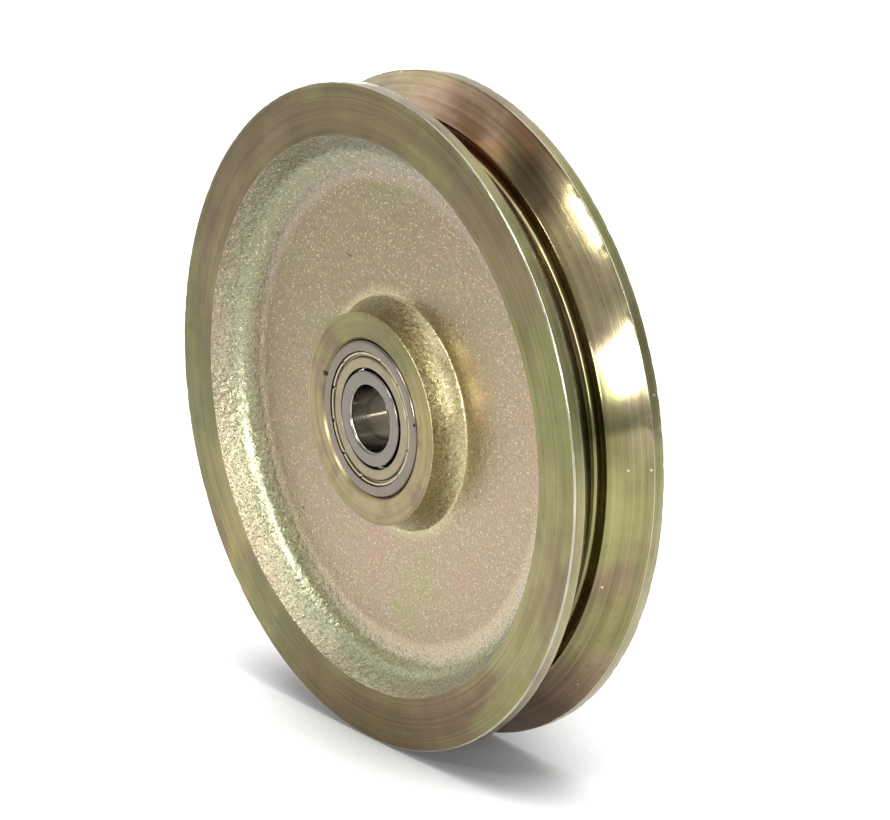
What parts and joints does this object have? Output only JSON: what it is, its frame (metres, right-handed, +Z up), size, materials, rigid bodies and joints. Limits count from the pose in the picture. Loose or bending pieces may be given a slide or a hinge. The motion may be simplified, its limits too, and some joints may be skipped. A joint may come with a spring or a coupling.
{
  "type": "gate wheel",
  "caption": "Grooved steel gate wheel with a V groove and relief slot for a rail, cast web and hub, and shielded ball bearings that leave a plain bore for an axle.",
  "frame": {"origin": "the wheel's centre: on the axle's centreline, midway between the two rim faces", "axes": "+Y along the axle towards the rear face, the front face looks towards -Y, +Z up, +X to the right seen from the front"},
  "size_m": [0.2, 0.032, 0.2],
  "materials": {
    "zinc_plated_casting": "yellow zinc plated: turned on the rim, groove and hub faces, as cast in the recess",
    "ground_steel": "ground",
    "shield_steel": "pressed sheet, satin",
    "spacer_steel": "turned",
    "cage_steel": "pressed sheet",
    "ball_steel": "polished"
  },
  "bodies": {
    "axle_side": {"front_inner_ring": "ground_steel", "rear_inner_ring": "ground_steel", "inner_ring_spacer": "spacer_steel"},
    "wheel": {"wheel_body": "zinc_plated_casting", "front_outer_ring": "ground_steel", "front_outer_shield": "shield_steel", "front_inner_shield": "shield_steel", "rear_outer_ring": "ground_steel", "rear_outer_shield": "shield_steel", "rear_inner_shield": "shield_steel"},
    "front_cage": {"front_cage_outer_half": "cage_steel", "front_cage_inner_half": "cage_steel", "front_cage_rivets": "cage_steel"},
    "front_ball_1_body": {"front_ball_1": "ball_steel"},
    "front_ball_2_body": {"front_ball_2": "ball_steel"},
    "front_ball_3_body": {"front_ball_3": "ball_steel"},
    "front_ball_4_body": {"front_ball_4": "ball_steel"},
    "front_ball_5_body": {"front_ball_5": "ball_steel"},
    "front_ball_6_body": {"front_ball_6": "ball_steel"},
    "front_ball_7_body": {"front_ball_7": "ball_steel"},
    "front_ball_8_body": {"front_ball_8": "ball_steel"},
    "rear_cage": {"rear_cage_outer_half": "cage_steel", "rear_cage_inner_half": "cage_steel", "rear_cage_rivets": "cage_steel"},
    "rear_ball_1_body": {"rear_ball_1": "ball_steel"},
    "rear_ball_2_body": {"rear_ball_2": "ball_steel"},
    "rear_ball_3_body": {"rear_ball_3": "ball_steel"},
    "rear_ball_4_body": {"rear_ball_4": "ball_steel"},
    "rear_ball_5_body": {"rear_ball_5": "ball_steel"},
    "rear_ball_6_body": {"rear_ball_6": "ball_steel"},
    "rear_ball_7_body": {"rear_ball_7": "ball_steel"},
    "rear_ball_8_body": {"rear_ball_8": "ball_steel"}
  },
  "joints": [
    {"name": "wheel_spin", "type": "hinge", "parent": "axle_side", "child": "wheel", "pos_m": [0, 0, 0], "axis": [0, 1, 0], "continuous": true},
    {"name": "front_cage_spin", "type": "hinge", "parent": "axle_side", "child": "front_cage", "pos_m": [0, -0.009, 0], "axis": [0, 1, 0], "continuous": true},
    {"name": "front_ball_1_spin", "type": "hinge", "parent": "front_cage", "child": "front_ball_1_body", "pos_m": [0.01675, -0.009, 0], "axis": [0, 1, 0], "continuous": true},
    {"name": "front_ball_2_spin", "type": "hinge", "parent": "front_cage", "child": "front_ball_2_body", "pos_m": [0.01184, -0.009, 0.01184], "axis": [0, 1, 0], "continuous": true},
    {"name": "front_ball_3_spin", "type": "hinge", "parent": "front_cage", "child": "front_ball_3_body", "pos_m": [0, -0.009, 0.01675], "axis": [0, 1, 0], "continuous": true},
    {"name": "front_ball_4_spin", "type": "hinge", "parent": "front_cage", "child": "front_ball_4_body", "pos_m": [-0.01184, -0.009, 0.01184], "axis": [0, 1, 0], "continuous": true},
    {"name": "front_ball_5_spin", "type": "hinge", "parent": "front_cage", "child": "front_ball_5_body", "pos_m": [-0.01675, -0.009, 0], "axis": [0, 1, 0], "continuous": true},
    {"name": "front_ball_6_spin", "type": "hinge", "parent": "front_cage", "child": "front_ball_6_body", "pos_m": [-0.01184, -0.009, -0.01184], "axis": [0, 1, 0], "continuous": true},
    {"name": "front_ball_7_spin", "type": "hinge", "parent": "front_cage", "child": "front_ball_7_body", "pos_m": [0, -0.009, -0.01675], "axis": [0, 1, 0], "continuous": true},
    {"name": "front_ball_8_spin", "type": "hinge", "parent": "front_cage", "child": "front_ball_8_body", "pos_m": [0.01184, -0.009, -0.01184], "axis": [0, 1, 0], "continuous": true},
    {"name": "rear_cage_spin", "type": "hinge", "parent": "axle_side", "child": "rear_cage", "pos_m": [0, 0.009, 0], "axis": [0, 1, 0], "continuous": true},
    {"name": "rear_ball_1_spin", "type": "hinge", "parent": "rear_cage", "child": "rear_ball_1_body", "pos_m": [0.01675, 0.009, 0], "axis": [0, 1, 0], "continuous": true},
    {"name": "rear_ball_2_spin", "type": "hinge", "parent": "rear_cage", "child": "rear_ball_2_body", "pos_m": [0.01184, 0.009, -0.01184], "axis": [0, 1, 0], "continuous": true},
    {"name": "rear_ball_3_spin", "type": "hinge", "parent": "rear_cage", "child": "rear_ball_3_body", "pos_m": [0, 0.009, -0.01675], "axis": [0, 1, 0], "continuous": true},
    {"name": "rear_ball_4_spin", "type": "hinge", "parent": "rear_cage", "child": "rear_ball_4_body", "pos_m": [-0.01184, 0.009, -0.01184], "axis": [0, 1, 0], "continuous": true},
    {"name": "rear_ball_5_spin", "type": "hinge", "parent": "rear_cage", "child": "rear_ball_5_body", "pos_m": [-0.01675, 0.009, 0], "axis": [0, 1, 0], "continuous": true},
    {"name": "rear_ball_6_spin", "type": "hinge", "parent": "rear_cage", "child": "rear_ball_6_body", "pos_m": [-0.01184, 0.009, 0.01184], "axis": [0, 1, 0], "continuous": true},
    {"name": "rear_ball_7_spin", "type": "hinge", "parent": "rear_cage", "child": "rear_ball_7_body", "pos_m": [0, 0.009, 0.01675], "axis": [0, 1, 0], "continuous": true},
    {"name": "rear_ball_8_spin", "type": "hinge", "parent": "rear_cage", "child": "rear_ball_8_body", "pos_m": [0.01184, 0.009, 0.01184], "axis": [0, 1, 0], "continuous": true}
  ],
  "couplings": [
    {"joint": "front_cage_spin", "follows": "wheel_spin", "ratio": 0.61848},
    {"joint": "front_ball_1_spin", "follows": "wheel_spin", "ratio": 1.9916},
    {"joint": "front_ball_2_spin", "follows": "wheel_spin", "ratio": 1.9916},
    {"joint": "front_ball_3_spin", "follows": "wheel_spin", "ratio": 1.9916},
    {"joint": "front_ball_4_spin", "follows": "wheel_spin", "ratio": 1.9916},
    {"joint": "front_ball_5_spin", "follows": "wheel_spin", "ratio": 1.9916},
    {"joint": "front_ball_6_spin", "follows": "wheel_spin", "ratio": 1.9916},
    {"joint": "front_ball_7_spin", "follows": "wheel_spin", "ratio": 1.9916},
    {"joint": "front_ball_8_spin", "follows": "wheel_spin", "ratio": 1.9916},
    {"joint": "rear_cage_spin", "follows": "wheel_spin", "ratio": 0.61848},
    {"joint": "rear_ball_1_spin", "follows": "wheel_spin", "ratio": 1.9916},
    {"joint": "rear_ball_2_spin", "follows": "wheel_spin", "ratio": 1.9916},
    {"joint": "rear_ball_3_spin", "follows": "wheel_spin", "ratio": 1.9916},
    {"joint": "rear_ball_4_spin", "follows": "wheel_spin", "ratio": 1.9916},
    {"joint": "rear_ball_5_spin", "follows": "wheel_spin", "ratio": 1.9916},
    {"joint": "rear_ball_6_spin", "follows": "wheel_spin", "ratio": 1.9916},
    {"joint": "rear_ball_7_spin", "follows": "wheel_spin", "ratio": 1.9916},
    {"joint": "rear_ball_8_spin", "follows": "wheel_spin", "ratio": 1.9916}
  ]
}
